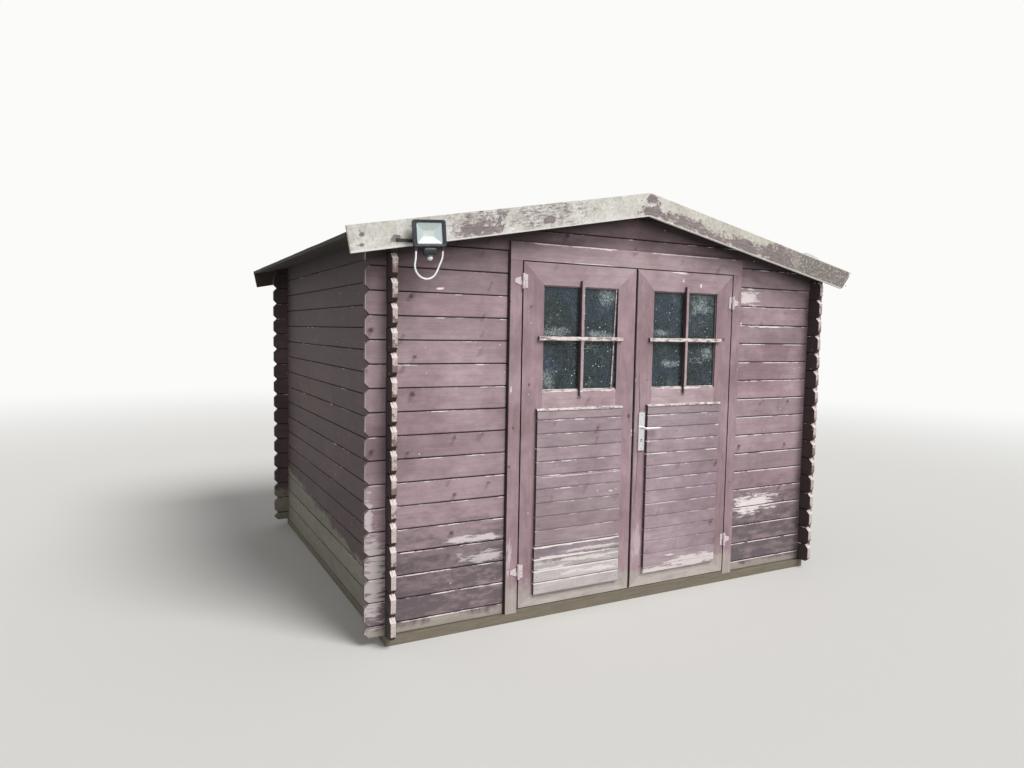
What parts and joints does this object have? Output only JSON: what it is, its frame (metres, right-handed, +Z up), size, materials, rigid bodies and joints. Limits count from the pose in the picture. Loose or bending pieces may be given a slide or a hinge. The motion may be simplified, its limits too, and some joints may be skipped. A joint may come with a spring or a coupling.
{
  "type": "wooden garden shed",
  "caption": "Double-door garden shed of interlocking logs with a low felted gable roof, a lever handle and a sensor lamp.",
  "frame": {"origin": "middle of the whole shed's footprint, on the ground under the sill beams", "axes": "+X to the right along the front, +Y from the front to the back, +Z up; the doors are on the -Y side"},
  "size_m": [3.252, 2.679, 2.2386],
  "materials": {
    "stained_logs": "mauve-brown opaque stain, dusty and weathered",
    "stained_joinery": "mauve-brown opaque stain, worn at the edges",
    "barge_timber": "old pale paint, flaking to brown wood",
    "roof_timber": "sawn pine, darkened",
    "floor_timber": "planed pine, dusty",
    "sawn_beams": "sawn, pressure-treated",
    "mineral_felt": "mineral felt, matt, with moss at the edges",
    "window_glass": "dusty clear glass",
    "painted_steel": "steel painted over with the wood stain",
    "handle_metal": "satin",
    "lamp_metal": "powder coat, satin",
    "lamp_glass": "clear",
    "sensor_plastic": "moulded, matt",
    "cable_sheath": "white, smooth"
  },
  "bodies": {
    "shed": {"sill_beams": "sawn_beams", "floor_joists": "sawn_beams", "floor_boards": "floor_timber", "left_wall": "stained_logs", "right_wall": "stained_logs", "front_wall_left": "stained_logs", "front_wall_right": "stained_logs", "front_gable": "stained_logs", "back_wall": "stained_logs", "ridge_purlin": "roof_timber", "side_purlins": "roof_timber", "roof_boards_left": "roof_timber", "roof_boards_right": "roof_timber", "roofing_felt": "mineral_felt", "front_barge_left": "barge_timber", "front_barge_right": "barge_timber", "back_barge_left": "barge_timber", "back_barge_right": "barge_timber", "threshold": "sawn_beams", "left_jamb": "stained_joinery", "right_jamb": "stained_joinery", "door_head": "stained_joinery", "left_hinge_jamb_halves": "painted_steel", "right_hinge_jamb_halves": "painted_steel", "lamp_bracket": "lamp_metal", "lamp_housing": "lamp_metal", "lamp_glass": "lamp_glass", "motion_sensor": "sensor_plastic", "lamp_cable": "cable_sheath"},
    "left_door": {"left_door_stiles": "stained_joinery", "left_door_rails": "stained_joinery", "left_door_glass": "window_glass", "left_door_muntins": "stained_joinery", "left_door_panel": "stained_joinery", "left_door_kick_panel": "stained_joinery", "left_hinge_leaf_halves": "painted_steel"},
    "right_door": {"right_door_stiles": "stained_joinery", "right_door_rails": "stained_joinery", "right_door_glass": "window_glass", "right_door_muntins": "stained_joinery", "right_door_panel": "stained_joinery", "right_hinge_leaf_halves": "painted_steel", "handle_plates": "handle_metal"},
    "lever": {"door_lever": "handle_metal"}
  },
  "joints": [
    {"name": "left_door_hinge", "type": "hinge", "parent": "shed", "child": "left_door", "pos_m": [-0.7075, -1.194, 0], "axis": [0, 0, -1], "range_deg": [0, 110]},
    {"name": "right_door_hinge", "type": "hinge", "parent": "shed", "child": "right_door", "pos_m": [0.7075, -1.194, 0], "axis": [0, 0, 1], "range_deg": [0, 110]},
    {"name": "lever_turn", "type": "hinge", "parent": "right_door", "child": "lever", "pos_m": [0.057, -1.1865, 0.973], "axis": [0, 1, 0], "range_deg": [0, 35], "stiffness_Nm_per_rad": 0.5, "springref_deg": -34.38}
  ]
}
